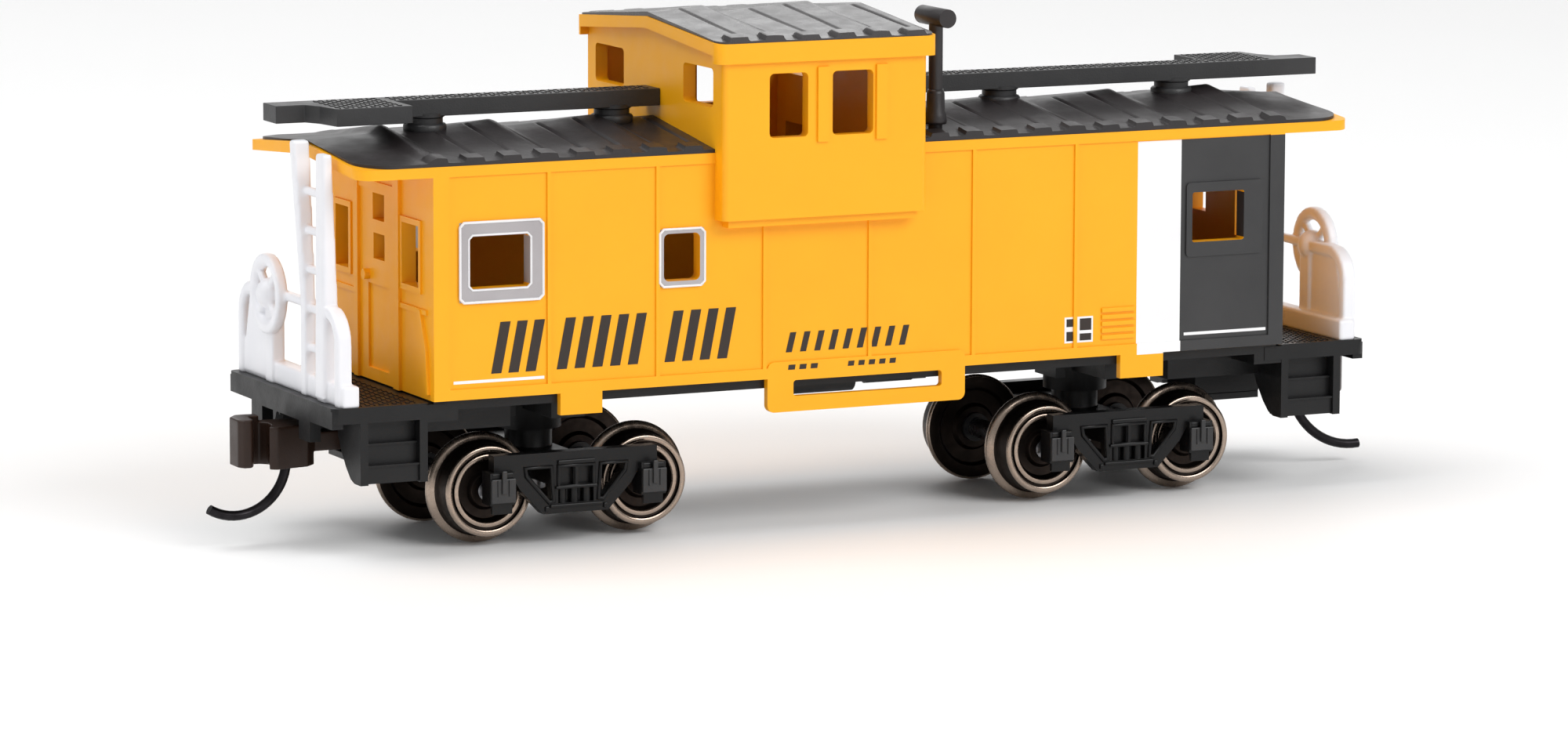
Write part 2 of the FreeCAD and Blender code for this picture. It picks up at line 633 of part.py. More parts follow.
def side_rail(start):
    """Round-cornered outer rail from a post at start down to the deck, on the -Y side."""
    bend, edge = 2.0, 8.1
    bar = RAIL_BAR
    middle_y, middle_z = bend - edge, RAIL_TOP - bend
    x = -RAIL_X[1]
    diagonal = math.sqrt(0.5)

    def bent(radius):
        return Part.Arc(V(x, middle_y, middle_z + radius),
                        V(x, middle_y - radius * diagonal, middle_z + radius * diagonal),
                        V(x, middle_y - radius, middle_z)).toShape()

    foot = [V(x, -edge, middle_z), V(x, -edge, DECK_TOP), V(x, bar - edge, DECK_TOP),
            V(x, bar - edge, middle_z)]
    top = [V(x, middle_y, RAIL_TOP - bar), V(x, -start, RAIL_TOP - bar), V(x, -start, RAIL_TOP),
           V(x, middle_y, RAIL_TOP)]
    lines = []
    for corners in (foot, top):
        lines += [Part.makeLine(a, b) for a, b in zip(corners, corners[1:])]
    wire = Part.Wire(Part.__sortEdges__([bent(bend), bent(bend - bar)] + lines))
    return Part.Face(wire).extrude(V(RAIL_X[1] - RAIL_X[0], 0, 0))


def brake_wheel(y, z):
    """Spoked hand wheel on the outside of the railing, moulded with it."""
    rim_width, thickness = 0.45, 0.5
    x = -RAIL_X[1] - 0.25
    rim = cylinder(BRAKE_WHEEL_R, (x, y, z), (1, 0, 0), thickness)
    rim = rim.cut(cylinder(BRAKE_WHEEL_R - rim_width, (x - 1, y, z), (1, 0, 0), 3))
    pieces = [rim, cylinder(0.65, (x - 0.1, y, z), (1, 0, 0), 0.9)]
    for spoke in range(4):
        bar = box((x + 0.1, x + 0.4), (y - 0.18, y + 0.18), (z, z + BRAKE_WHEEL_R - 0.2))
        bar.rotate(V(x, y, z), V(1, 0, 0), 45 + 90 * spoke)
        pieces.append(bar)
    return fuse_all(pieces)


def ladder():
    """The two ladder posts with their rungs."""
    far_y, near_y = (LADDER_Y[1], LADDER_Y[1] + 0.65), (LADDER_Y[0] - 1.15, LADDER_Y[0])
    pieces = [
        ladder_post(far_y, (-34.2, -33.6), (-34.86, -33.94), 24.45),
        ladder_post(near_y, (-34.25, -33.45), (-34.25, -33.78), 23.85),
    ]
    for n in range(5):
        z = RUNG_START + n * RUNG_PITCH
        x = -33.88 - max(0.0, (z - LADDER_LEAN_Z) * 0.03)
        pieces.append(cylinder(0.2, (x, LADDER_Y[0] - 0.2, z), (0, 1, 0), LADDER_Y[1] - LADDER_Y[0] + 0.4))
    return fuse_all(pieces)


def end_railing():
    """Front railing: base beam, ladder at -Y, brake wheel stand at +Y and rounded side rails."""
    base_x = (-RAIL_BASE_X[1], -RAIL_BASE_X[0])
    beam = box(base_x, (-RAIL_HALF_WIDTH, RAIL_HALF_WIDTH), (DECK_TOP, RAIL_BASE_TOP))
    y, z = BRAKE_WHEEL_Y, BRAKE_WHEEL_Z
    top_bar = box((-34.05, -33.65), (LADDER_Y[1] + 0.3, y), (z - 0.1, z + 0.3))
    stand = box((-34.2, -33.5), (y - 0.5, y + 0.5), (DECK_TOP, z))
    far_rail = side_rail(y).mirror(V(0, 0, 0), V(0, 1, 0))
    near_rail = side_rail(-LADDER_Y[0] + 0.6)
    return fuse_all([beam, ladder(), top_bar, stand, near_rail, far_rail, brake_wheel(y, z)])


def running_board(end):
    """Raised walk from the cupola to the roof end, with a step to the ladder side."""
    near = (-CUPOLA_X[0] if end == FRONT else CUPOLA_X[1]) + 0.02
    half, side = BOARD_HALF, BOARD_SIDE
    outline = [(near, -half), (27.8, -half), (27.8, -side), (32.6, -side), (32.95, -2.1), (33.5, -half),
               (BOARD_END, -half), (BOARD_END, half), (near, half)]
    board = prism([(-x, y) for x, y in outline], "z", *BOARD_Z)
    foot = EAVE_TOP + 0.5
    posts = [cylinder(BOARD_POST_R, (-x, 0, foot), (0, 0, 1), BOARD_Z[0] - foot + 0.1) for x in BOARD_POST_X]
    return at_end(fuse_all([board] + posts), end)


def smoke_jack():
    """Pipe with a collar and a cross pipe on top."""
    pipe = cylinder(JACK_R, (JACK_X, JACK_Y, CEILING), (0, 0, 1), JACK_CAP_Z - CEILING)
    collar = cylinder(JACK_R + 0.15, (JACK_X, JACK_Y, 24.25), (0, 0, 1), 0.6)
    cap = cylinder(JACK_CAP_R, (JACK_X, JACK_CAP_Y[0], JACK_CAP_Z), (0, 1, 0), JACK_CAP_Y[1] - JACK_CAP_Y[0])
    return fuse_all([pipe, collar, cap])


# ---- Parts ----

body = body_shell()
save("body_shell", body)
save("cupola_roof", cupola_roof())
save("underframe", underframe())
save("ballast_weight", ballast_weight())
save("smoke_jack", smoke_jack())

for name, end in ENDS:
    roof = main_roof(end)
    save("roof_" + name, roof)
    save("running_board_" + name, running_board(end).cut(roof).cut(body))
    save("end_railing_" + name, at_end(end_railing(), end))
    save("coupler_" + name, coupler(end))
    save("trip_pin_" + name, trip_pin(end))
    save("coupler_cover_" + name, at_end(coupler_cover(), end))
    save("coupler_spring_" + name, at_end(coupler_spring(), end))
    centre = V(end * TRUCK_X, 0, 0)
    save("truck_frame_" + name, truck_frame().translated(centre))
    save("kingpin_" + name, kingpin().translated(centre))
    for place, side in (("outer", end), ("inner", -end)):
        spot = centre + V(side * HALF_WHEELBASE, 0, AXLE_Z)
        label = "_" + name + "_" + place
        plain_wheel = wheel(AXLE_R).mirror(V(0, 0, 0), V(0, 1, 0))
        bush = ring_about_y([(AXLE_R, WHEEL_BACK_Y - 0.2), (BUSH_R, WHEEL_BACK_Y - 0.2),
                             (BUSH_R, WHEEL_FACE_Y - 0.3), (AXLE_R, WHEEL_FACE_Y - 0.3)])
        save("axle" + label, axle().translated(spot))
        save("wheel_left" + label, plain_wheel.translated(spot))
        save("wheel_right" + label, wheel(BUSH_R).translated(spot))
        save("axle_bush" + label, bush.translated(spot))
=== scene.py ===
"""Looks of the model caboose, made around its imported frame.

Blender's unit is the metre. The car's own sizes are given in millimetres and turned into metres
by the helpers, as MM. X runs along the car with the front end at -X, Y across it, Z up.
"""
import math

import bmesh
import bpy
from mathutils import Matrix, Vector


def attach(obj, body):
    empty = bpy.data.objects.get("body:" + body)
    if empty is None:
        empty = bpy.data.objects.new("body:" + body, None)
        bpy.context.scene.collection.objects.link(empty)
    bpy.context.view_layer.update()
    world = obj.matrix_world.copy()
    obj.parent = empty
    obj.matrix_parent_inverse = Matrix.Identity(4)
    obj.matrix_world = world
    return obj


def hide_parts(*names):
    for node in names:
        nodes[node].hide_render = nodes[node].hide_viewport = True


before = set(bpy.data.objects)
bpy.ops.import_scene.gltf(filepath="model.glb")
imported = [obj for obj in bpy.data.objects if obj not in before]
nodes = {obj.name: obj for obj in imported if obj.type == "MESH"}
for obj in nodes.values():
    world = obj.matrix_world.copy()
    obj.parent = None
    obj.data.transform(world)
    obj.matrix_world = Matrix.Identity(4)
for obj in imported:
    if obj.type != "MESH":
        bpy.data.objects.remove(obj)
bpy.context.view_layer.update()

MM = 0.001
ENDS = {"front": -1, "rear": 1}


def scene_linear(red, green, blue):
    """Linear colour with alpha, from screen values of 0 to 255."""
    def channel(value):
        share = value / 255
        return share / 12.92 if share <= 0.04045 else ((share + 0.055) / 1.055) ** 2.4
    return (channel(red), channel(green), channel(blue), 1.0)


# ---- Materials ----

class Nodes:
    """A new material, with short calls for the nodes that the finishes share."""

    def __init__(self, name):
        self.material = bpy.data.materials.new(name)
        self.material.use_nodes = True
        self.tree = self.material.node_tree
        self.shader = self.tree.nodes["Principled BSDF"]
        self.place = self.add("ShaderNodeTexCoord").outputs["Object"]

    def add(self, kind, **values):
        node = self.tree.nodes.new(kind)
        for key, value in values.items():
            setattr(node, key, value)
        return node

    def link(self, start, end):
        self.tree.links.new(start, end)

    def noise(self, size, detail=3.0, roughness=0.55, distortion=0.0):
        """Noise with features of about size millimetres."""
        node = self.add("ShaderNodeTexNoise")
        self.link(self.place, node.inputs["Vector"])
        node.inputs["Scale"].default_value = 1 / (size * MM)
        node.inputs["Detail"].default_value = detail
        node.inputs["Roughness"].default_value = roughness
        node.inputs["Distortion"].default_value = distortion
        return node.outputs["Fac"]

    def spread(self, value, low, high, from_low=0.3, from_high=0.7):
        """The value mapped to a range."""
        node = self.add("ShaderNodeMapRange")
        self.link(value, node.inputs["Value"])
        node.inputs["From Min"].default_value = from_low
        node.inputs["From Max"].default_value = from_high
        node.inputs["To Min"].default_value = low
        node.inputs["To Max"].default_value = high
        return node.outputs["Result"]

    def mix(self, share, first, second):
        """Colour between two colours or colour outputs."""
        node = self.add("ShaderNodeMix", data_type="RGBA")
        self.link(share, node.inputs["Factor"])
        for socket, colour in ((node.inputs[6], first), (node.inputs[7], second)):
            if isinstance(colour, tuple):
                socket.default_value = colour
            else:
                self.link(colour, socket)
        return node.outputs[2]

    def bump(self, height, depth, under=None):
        """Bump of a depth in millimetres, on top of another bump if one is given."""
        node = self.add("ShaderNodeBump")
        node.inputs["Strength"].default_value = 1.0
        node.inputs["Distance"].default_value = depth * MM
        self.link(height, node.inputs["Height"])
        if under is not None:
            self.link(under, node.inputs["Normal"])
        return node.outputs["Normal"]

    def set(self, **values):
        for key, value in values.items():
            self.shader.inputs[key.replace("_", " ").title()].default_value = value


def moulded(name, colour, worn, roughness, grain=0.1, grain_depth=0.004, wave_depth=0.01, shine=0.5):
    """Moulded or painted plastic: slight mottling, fine grain and a faint long waviness."""
    n = Nodes(name)
    n.shader.inputs["Specular IOR Level"].default_value = shine
    n.link(n.mix(n.spread(n.noise(4.0), 0, 1), colour, worn), n.shader.inputs["Base Color"])
    n.link(n.spread(n.noise(1.3), roughness - 0.05, roughness + 0.05), n.shader.inputs["Roughness"])
    wave = n.bump(n.noise(2.2, detail=1.0), wave_depth)
    n.link(n.bump(n.noise(grain, detail=2.0), grain_depth, wave), n.shader.inputs["Normal"])
    return n.material


def metal(name, colour, dark, roughness, grain=0.15, grain_depth=0.003):
    """Bare or blackened metal with a mottled surface."""
    n = Nodes(name)
    n.set(metallic=1.0)
    n.link(n.mix(n.spread(n.noise(0.8), 0, 1), colour, dark), n.shader.inputs["Base Color"])
    n.link(n.spread(n.noise(0.4), roughness - 0.07, roughness + 0.07), n.shader.inputs["Roughness"])
    n.link(n.bump(n.noise(grain, detail=4.0), grain_depth), n.shader.inputs["Normal"])
    return n.material


YELLOW = moulded("yellow_plastic", scene_linear(252, 176, 8), scene_linear(251, 173, 6), 0.46, shine=0.42)
ROOF_BLACK = moulded("roof_black", scene_linear(40, 35, 36), scene_linear(31, 28, 29), 0.4, 0.12, 0.01)
# The cupola roof is the same black paint as the main roofs; its lighter base colour is a painted sheen.
CUPOLA_BLACK_PAINTED_SHEEN = moulded("cupola_black_painted_sheen", scene_linear(62, 59, 60), scene_linear(54, 52, 53),
                       0.28, 0.12, 0.002, 0.004)
FRAME_BLACK = moulded("underframe_black", scene_linear(22, 22, 23), scene_linear(16, 16, 17),
                      0.42, 0.12, 0.008, shine=0.32)
TRUCK_BLACK = moulded("truck_black", scene_linear(16, 16, 17), scene_linear(11, 11, 12),
                      0.34, 0.1, 0.008, shine=0.28)
RAILING_WHITE = moulded("railing_white", scene_linear(240, 240, 244), scene_linear(232, 233, 238), 0.36)
COUPLER_BROWN = moulded("coupler_brown", scene_linear(48, 31, 23), scene_linear(38, 25, 18),
                        0.38, 0.1, 0.008, shine=0.32)
PIN_BLACK = metal("blackened_wire", scene_linear(50, 48, 50), scene_linear(38, 36, 38), 0.35)
WHEEL_METAL = metal("nickel_bronze", scene_linear(172, 155, 141), scene_linear(162, 146, 133),
                    0.26, 0.3, 0.0008)
AXLE_STEEL = metal("axle_steel", scene_linear(150, 150, 152), scene_linear(120, 120, 124), 0.3)
SPRING_BRONZE = metal("spring_bronze", scene_linear(190, 140, 80), scene_linear(160, 116, 66), 0.3)
SILVER_PAINT = moulded("silver_paint", scene_linear(176, 172, 174), scene_linear(165, 160, 162), 0.35)
# Lighter copy of the silver paint: a painted highlight on the raised edges of the window frames.
SILVER_PAINTED_HIGHLIGHT = moulded("silver_painted_highlight", scene_linear(240, 240, 242), scene_linear(228, 228, 230), 0.3)
BOARD_BLACK = moulded("board_black", scene_linear(46, 46, 47), scene_linear(38, 38, 39), 0.42, 0.12, 0.012)
WHITE_PAINT = moulded("white_paint", scene_linear(244, 244, 245), scene_linear(238, 238, 240), 0.42)
BLACK_PAINT = moulded("black_paint", scene_linear(50, 50, 51), scene_linear(43, 43, 44), 0.45)
INK_BLACK = moulded("black_ink", scene_linear(44, 32, 24), scene_linear(38, 28, 22), 0.45)
# Dark copy of the wheel metal: painted shade for the tread, the back face, the ring groove and the hub dish.
WHEEL_PAINTED_SHADE = metal("wheel_painted_shade", scene_linear(52, 45, 41), scene_linear(44, 38, 35), 0.4, 0.3, 0.0008)
BUSH_BLACK = moulded("bush_black", scene_linear(36, 36, 38), scene_linear(30, 30, 32), 0.45)

FINISH_OF = {
    "body_shell": YELLOW,
    "roof_": ROOF_BLACK,
    "cupola_roof": ROOF_BLACK,
    "running_board_": ROOF_BLACK,
    "smoke_jack": ROOF_BLACK,
    "underframe": FRAME_BLACK,
    "coupler_cover_": FRAME_BLACK,
    "coupler_spring_": SPRING_BRONZE,
    "coupler_": COUPLER_BROWN,
    "trip_pin_": PIN_BLACK,
    "truck_frame_": TRUCK_BLACK,
    "end_railing_": RAILING_WHITE,
    "axle_bush_": BUSH_BLACK,
    "axle_": AXLE_STEEL,
    "wheel_": WHEEL_METAL,
    "kingpin_": AXLE_STEEL,
    "ballast_weight": AXLE_STEEL,
}


def give_material(piece, *materials):
    have = piece.data.materials
    for place, material in enumerate(materials):
        if place < len(have):
            have[place] = material
        else:
            have.append(material)


for name, node in nodes.items():
    found = [key for key in FINISH_OF if name.startswith(key)]
    give_material(node, FINISH_OF[max(found, key=len)])


# ---- Making pieces ----

def add_piece(name, mesh, body, replaced=(), materials=(), smooth=False):
    """A new object that rides on a body, stands for CAD nodes and takes the given materials."""
    if smooth:
        mesh.shade_smooth()
    piece = bpy.data.objects.new(name, mesh)
    bpy.context.scene.collection.objects.link(piece)
    give_material(piece, *materials)
    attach(piece, body)
    if replaced:
        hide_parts(*replaced)
    return piece


def mesh_of(name, points, faces, indices=None):
    """Mesh from points in millimetres."""
    mesh = bpy.data.meshes.new(name)
    mesh.from_pydata([Vector(point) * MM for point in points], [], faces)
    if indices is not None:
        mesh.polygons.foreach_set("material_index", indices)
    mesh.validate()
    mesh.update()
    return mesh


def rounded(piece, width, segments=2, angle=35):
    """Rounds the sharp edges of a solid made of flat faces."""
    bevel = piece.modifiers.new("bevel", "BEVEL")
    bevel.width = width * MM
    bevel.segments = segments
    bevel.limit_method = "ANGLE"
    bevel.angle_limit = math.radians(angle)
    bevel.use_clamp_overlap = True
    return piece


def soften(piece, width, segments=2, angle=35):
    """Welds a faceted solid, joins its flat faces and rounds its sharp edges."""
    weld = piece.modifiers.new("weld", "WELD")
    weld.merge_threshold = 0.001 * MM
    flat = piece.modifiers.new("flat", "DECIMATE")
    flat.decimate_type = "DISSOLVE"
    flat.angle_limit = math.radians(1)
    return rounded(piece, width, segments, angle)


def melt(piece, cell, rounds):
    """Gives a solid the soft, worn edges of a small moulding."""
    remesh = piece.modifiers.new("remesh", "REMESH")
    remesh.mode = "VOXEL"
    remesh.voxel_size = cell * MM
    remesh.use_smooth_shade = True
    smooth = piece.modifiers.new("smooth", "SMOOTH")
    smooth.factor = 0.5
    smooth.iterations = rounds
    return piece


def lathe(name, profile, turns=96, axis="y", side=1):
    """Closed ring mesh from (radius, distance along the axis) in millimetres."""
    points, faces = [], []
    count = len(profile)
    for turn in range(turns):
        angle = 2 * math.pi * turn / turns
        for radius, along in profile:
            u, v = radius * math.cos(angle), radius * math.sin(angle)
            points.append((u, side * along, v) if axis == "y" else (u, v, along))
    for turn in range(turns):
        here, there = turn * count, (turn + 1) % turns * count
        for n in range(count):
            after = (n + 1) % count
            corners = (here + n, there + n, there + after, here + after)
            faces.append(corners if side > 0 else corners[::-1])
    return mesh_of(name, points, faces)


def boxes_mesh(name, boxes):
    """One mesh of separate boxes, each given as its X, Y and Z limits."""
    points, faces = [], []
    for x, y, z in boxes:
        first = len(points)
        points += [(i, j, k) for i in x for j in y for k in z]
        for face in ((0, 1, 3, 2), (4, 6, 7, 5), (0, 4, 5, 1), (2, 3, 7, 6), (0, 2, 6, 4), (1, 5, 7, 3)):
            faces.append([first + corner for corner in face])
    return mesh_of(name, points, faces)


# ---- Body shell and its paint ----

SIDE_FACE = 8.6
SHELL_YELLOW, SILVER, WHITE, BLACK = range(4)
# Paint of the sides: index, X limits, Z limits
SIDE_PAINT = (
    (WHITE, (18.25, 21.3), (9.4, 22.62)),
    (BLACK, (21.3, 28.7), (9.4, 22.62)),
    (SILVER, (-26.9, -21.6), (15.2, 19.93)),
    (SILVER, (-14.05, -11.12), (15.43, 18.87)),
)


def body_paint():
    """The shell with its paint edges cut into its sides."""
    mesh = nodes["body_shell"].data.copy()
    shape = bmesh.new()
    shape.from_mesh(mesh)
    bmesh.ops.remove_doubles(shape, verts=shape.verts, dist=0.001 * MM)
    bmesh.ops.dissolve_limit(shape, angle_limit=math.radians(1), verts=shape.verts, edges=shape.edges)

    def on_side(face):
        middle = face.calc_center_median() / MM
        return abs(middle.y) > SIDE_FACE and middle.z < 22.7

    for _, x, z in SIDE_PAINT:
        for axis, limits in ((0, x), (2, z)):
            for limit in limits:
                faces = [face for face in shape.faces if on_side(face)]
                around = set(faces)
                for face in faces:
                    around.update(face.edges)
                    around.update(face.verts)
                place, normal = Vector((0, 0, 0)), Vector((0, 0, 0))
                place[axis], normal[axis] = limit * MM, 1
                bmesh.ops.bisect_plane(shape, geom=list(around), dist=0.0005 * MM, plane_co=place,
                                       plane_no=normal)
    for face in shape.faces:
        face.material_index = SHELL_YELLOW
        middle = face.calc_center_median() / MM
        if abs(middle.y) < 8.5 or middle.z > 22.7:
            continue
        for index, x, z in SIDE_PAINT:
            if x[0] < middle.x < x[1] and z[0] < middle.z < z[1]:
                face.material_index = index
    shape.to_mesh(mesh)
    shape.free()
    piece = add_piece("body_paint", mesh, "car_body", ["body_shell"],
                      [YELLOW, SILVER_PAINT, WHITE_PAINT, BLACK_PAINT])
    rounded(piece, 0.1, 3, 30)


def slanted(x, z, lean=0.0):
    """Outline of a bar between X and Z limits, leaning towards +X at its top."""
    return [(x[0], z[0]), (x[1], z[0]), (x[1] + lean, z[1]), (x[0] + lean, z[1])]


def printed(name, outlines, ink, depth=0.02):
    """Thin ink shapes at the same places on both sides of the body."""
    face = 8.83
    points, faces = [], []
    for side in (-1, 1):
        for outline in outlines:
            first, count = len(points), len(outline)
            for out in (face - 0.05, face + depth):
                points += [(x, side * out, z) for x, z in outline]
            near = list(range(first, first + count))
            far = list(range(first + count, first + 2 * count))
            faces += [near[::-1], far]
            for n in range(count):
                after = (n + 1) % count
                faces.append((near[n], near[after], far[after], far[n]))
    add_piece(name, mesh_of(name, points, faces), "car_body", (), [ink])


# ---- Roof sheets ----

SEAM_START = -21.2
SEAM_PITCH = 7.03


def smoothstep(value):
    value = min(max(value, 0.0), 1.0)
    return value * value * (3 - 2 * value)


def panel_rise(x, seam_drop, rise):
    """Height of a roof panel at x: a slow climb to each seam, then a short steep drop."""
    phase = ((x - SEAM_START + 0.15) / SEAM_PITCH) % 1
    drop = seam_drop / SEAM_PITCH
    if phase < drop:
        return rise * (1 - smoothstep(phase / drop))
    return rise * (phase - drop) / (1 - drop)


def roof_height(x, reach, half_width, eave, ridge, rise, sheet, flat_from=None):
    """Top of a ribbed roof sheet at x and at a share of its half width."""
    across = abs(reach)
    tab_height = 0.26 if reach < 0 else 0.04
    fade = 1.0
    if flat_from is not None:
        fade = 1 - smoothstep((abs(x) - flat_from[0]) / flat_from[1])
        ridge -= 0.06 * max(0.0, abs(x) - flat_from[0])
    gable = ridge + (eave - ridge) * across
    climb = panel_rise(x, 1.3, rise) * (1 - 0.85 * across) * fade
    third = ((x - SEAM_START) / SEAM_PITCH * 3 + 0.28) % 1
    inside = smoothstep(third / 0.05) * smoothstep((0.56 - third) / 0.05)
    tab = tab_height * inside * smoothstep((across * half_width - half_width + 1.25) / 0.12) * fade
    groove = math.exp(-((third - 0.56) / 0.04) ** 2)
    line = 0.1 * groove * fade * (1 if across < 0.86 else 0)
    if reach < 0:
        line += 0.12 * math.exp(-((across * half_width - half_width + 1.3) / 0.08) ** 2) * inside * fade
    worn = 0.012 * math.sin(x * 1.9 + reach * 7) * math.sin(x * 0.7 - reach * 4)
    return gable + sheet + climb + tab - line + worn


def roof_sheet(name, x, half_width, eave, ridge, base, rise, corner, finish, flat_from=None):
    """Ribbed sheet over a gable, closed underneath, with rounded corners in plan."""
    step = 0.09
    columns = int((x[1] - x[0]) / step)
    rows = 96
    points, faces = [], []
    for i in range(columns + 1):
        at = x[0] + (x[1] - x[0]) * i / columns
        width = half_width
        for end, radius in ((x[0], corner[0]), (x[1], corner[1])):
            gap = abs(at - end)
            if radius and gap < radius:
                width = min(width, half_width - radius + math.sqrt(radius ** 2 - (radius - gap) ** 2))
        for j in range(rows + 1):
            reach = -1 + 2 * j / rows
            reach = math.copysign(1 - (1 - abs(reach)) ** 1.25, reach)
            y = reach * width
            share = y / half_width
            top = roof_height(at, share, half_width, eave, ridge, rise, base, flat_from)
            points.append((at, y, top))
    top_count = len(points)
    for i in range(columns + 1):
        for j in range(rows + 1):
            at, y, _ = points[i * (rows + 1) + j]
            points.append((at, y, ridge + (eave - ridge) * abs(y) / half_width - 0.03))
    size = rows + 1
    for i in range(columns):
        for j in range(rows):
            a, b = i * size + j, (i + 1) * size + j
            faces.append((a, b, b + 1, a + 1))
            low = top_count
            faces.append((low + a + 1, low + b + 1, low + b, low + a))
    for i in range(columns):
        for j in (0, rows):
            a, b = i * size + j, (i + 1) * size + j
            wall = (a, a + top_count, b + top_count, b)
            faces.append(wall if j == 0 else wall[::-1])
    for i in (0, columns):
        for j in range(rows):
            a = i * size + j
            wall = (a, a + 1, a + 1 + top_count, a + top_count)
            faces.append(wall if i == 0 else wall[::-1])
    piece = add_piece(name + "_sheet", mesh_of(name, points, faces), "car_body", [name],
                      [finish], smooth=True)
    edges = piece.modifiers.new("edges", "EDGE_SPLIT")
    edges.split_angle = math.radians(50)
    return piece


def roofs():
    roof_sheet("roof_front", (-33.0, -10.45), 8.9, 23.3, 24.25, 0.2, 0.46, (2.2, 0), ROOF_BLACK, (28.2, 1.0))
    roof_sheet("roof_rear", (3.15, 33.0), 8.9, 23.3, 24.25, 0.2, 0.46, (0, 2.2), ROOF_BLACK, (28.2, 1.0))
    roof_sheet("cupola_roof", (-10.85, 3.55), 10.3, 29.92, 30.72, 0.08, 0.44, (0.7, 0.7), CUPOLA_BLACK_PAINTED_SHEEN)


# Plain slanted bars where the side carries its owner's name and number, and a panel of blocks
NAME_BARS = (
    [slanted((-24.9 + 1.1 * n, -24.25 + 1.1 * n), (10.9, 13.95), 0.6) for n in range(3)]
    + [slanted((-20.7 + 1.15 * n, -20.05 + 1.15 * n), (10.9, 13.95), 0.6) for n in range(5)]
    + [slanted((-13.7 + 1.15 * n, -13.05 + 1.15 * n), (10.9, 13.95), 0.6) for n in range(4)]
    + [slanted((-5.7 + 0.95 * n, -5.3 + 0.95 * n), (11.0, 12.2), 0.3) for n in range(9)]
)
SMALL_MARKS = (
    [slanted((-5.6 + 0.75 * n, -5.15 + 0.75 * n), (9.95, 10.25), 0.05) for n in range(3)]
    + [slanted((-1.6 + 0.7 * n, -1.2 + 0.7 * n), (9.95, 10.25), 0.05) for n in range(5)]
)
PINSTRIPES = [slanted((-27.3, -21.5), (10.4, 10.58)), slanted((21.6, 27.4), (10.4, 10.58))]
PANEL_OUTLINE = [slanted((13.25, 15.22), (10.4, 12.0))]
PANEL_BLOCKS = [slanted((13.38, 14.05), (11.4, 11.88)), slanted((13.38, 14.05), (10.52, 11.1)),
                slanted((14.3, 15.1), (11.15, 11.88)), slanted((14.3, 15.1), (10.52, 10.95))]


# ---- Wheels ----

WHEEL_PROFILE = (
    (0.62, 3.83), (1.3, 3.83), (1.5, 4.1), (2.3, 4.1), (2.5, 3.85), (3.2, 3.84), (3.28, 3.87), (3.34, 3.95),
    (3.35, 4.03), (3.33, 4.12), (3.27, 4.22), (3.1, 4.3), (2.92, 4.38), (2.82, 4.5), (2.78, 4.8),
    (2.75, 5.7), (2.73, 5.78), (2.68, 5.83), (2.6, 5.86), (2.44, 5.86), (2.38, 5.82), (2.35, 5.72),
    (2.33, 5.62), (2.24, 5.6), (2.21, 5.66), (2.19, 5.74), (2.14, 5.77), (1.95, 5.75), (1.88, 5.68),
    (1.82, 5.4), (1.7, 5.26), (1.2, 5.22), (1.12, 5.3), (1.05, 5.46), (0.98, 5.52), (0.62, 5.52),
)


def wheels():
    for end, sign in ENDS.items():
        for place, step in (("outer", sign), ("inner", -sign)):
            x = sign * 18.72 + step * 5.055
            for hand, side in (("left", -1), ("right", 1)):
                label = f"{hand}_{end}_{place}"
                profile = list(WHEEL_PROFILE)
                if hand == "right":
                    profile = [(0.92 if radius == 0.62 else radius, y) for radius, y in profile]
                piece = add_piece("turned_" + label, lathe("turned_" + label, profile, side=side),
                                  f"wheelset_{end}_{place}", [f"wheel_{label}"],
                                  [WHEEL_METAL, WHEEL_PAINTED_SHADE], smooth=True)
                # The tread, the back face, the ring groove and the dish round the hub take the dark copy, a
                # painted shade.
                for polygon in piece.data.polygons:
                    middle = polygon.center / MM
                    radius = math.hypot(middle.x, middle.z)
                    front = abs(middle.y) > 5.1
                    tread = 2.7 < radius < 3.0 and 4.3 < abs(middle.y) < 5.72
                    back = abs(middle.y) < 4.15 and radius < 3.2
                    if tread or back or front and (radius < 1.86 or 2.2 < radius < 2.37):
                        polygon.material_index = 1
                edges = piece.modifiers.new("edges", "EDGE_SPLIT")
                edges.split_angle = math.radians(38)
                place_at(piece, (x, 0, 3.35))


def place_at(piece, centre):
    """Moves a piece's mesh from the origin to a place in millimetres."""
    piece.data.transform(Matrix.Translation(Vector(centre) * MM))


# ---- Railings ----

